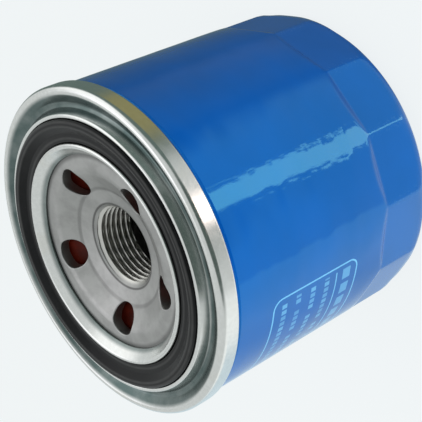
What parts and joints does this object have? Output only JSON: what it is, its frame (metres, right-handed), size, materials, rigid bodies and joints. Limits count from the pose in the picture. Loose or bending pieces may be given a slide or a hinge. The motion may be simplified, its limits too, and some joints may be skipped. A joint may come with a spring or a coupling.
{
  "type": "oil filter",
  "caption": "Spin-on engine oil filter: painted can with wrench flats, rolled seam, gasket, dished threaded plate with inlets, and a pleated element with its valves inside.",
  "frame": {"origin": "centre of the closed end, on the plane that it stands on", "axes": "+Z along the filter's axis from the closed end to the threaded face, +X through one inlet hole"},
  "size_m": [0.08, 0.08, 0.0723],
  "materials": {
    "blue_paint": "glossy blue enamel on drawn sheet steel",
    "tin_plate": "bright tin-plated sheet steel",
    "plate_steel": "satin pressed steel",
    "black_rubber": "moulded nitrile rubber, lightly oiled",
    "red_rubber": "moulded silicone rubber",
    "sealant": "cured seaming compound",
    "potting": "cured plastisol adhesive",
    "filter_paper": "resin-treated pleated filter paper",
    "spring_steel": "oiled spring wire"
  },
  "bodies": {
    "root": {"can": "blue_paint", "seaming_lid": "tin_plate", "seam_sealant": "sealant", "gasket": "black_rubber", "base_plate": "plate_steel", "lid_welds": "plate_steel", "drainback_collar": "red_rubber", "hold_down_spring": "spring_steel"},
    "drainback_flap": {"drainback_lip": "red_rubber"},
    "element": {"upper_end_cap": "tin_plate", "lower_end_cap": "tin_plate", "upper_potting": "potting", "lower_potting": "potting", "center_tube": "plate_steel", "pleated_media": "filter_paper", "media_clip": "plate_steel", "bypass_cage": "tin_plate", "bypass_spring": "spring_steel"},
    "bypass_valve": {"bypass_poppet": "tin_plate", "bypass_seal": "black_rubber"}
  },
  "joints": [
    {"name": "element_settle", "type": "slide", "parent": "root", "child": "element", "axis": [0, 0, -1], "range_m": [0, 0.0015], "stiffness_N_per_m": 15000, "springref_m": -0.002, "deforming": ["hold_down_spring"]},
    {"name": "bypass_open", "type": "slide", "parent": "element", "child": "bypass_valve", "axis": [0, 0, 1], "range_m": [0, 0.003], "stiffness_N_per_m": 1500, "springref_m": -0.01, "deforming": ["bypass_spring"]},
    {"name": "drainback_lift", "type": "slide", "parent": "root", "child": "drainback_flap", "axis": [0, 0, -1], "range_m": [0, 0.0015], "stiffness_N_per_m": 500, "springref_m": -0.001}
  ]
}
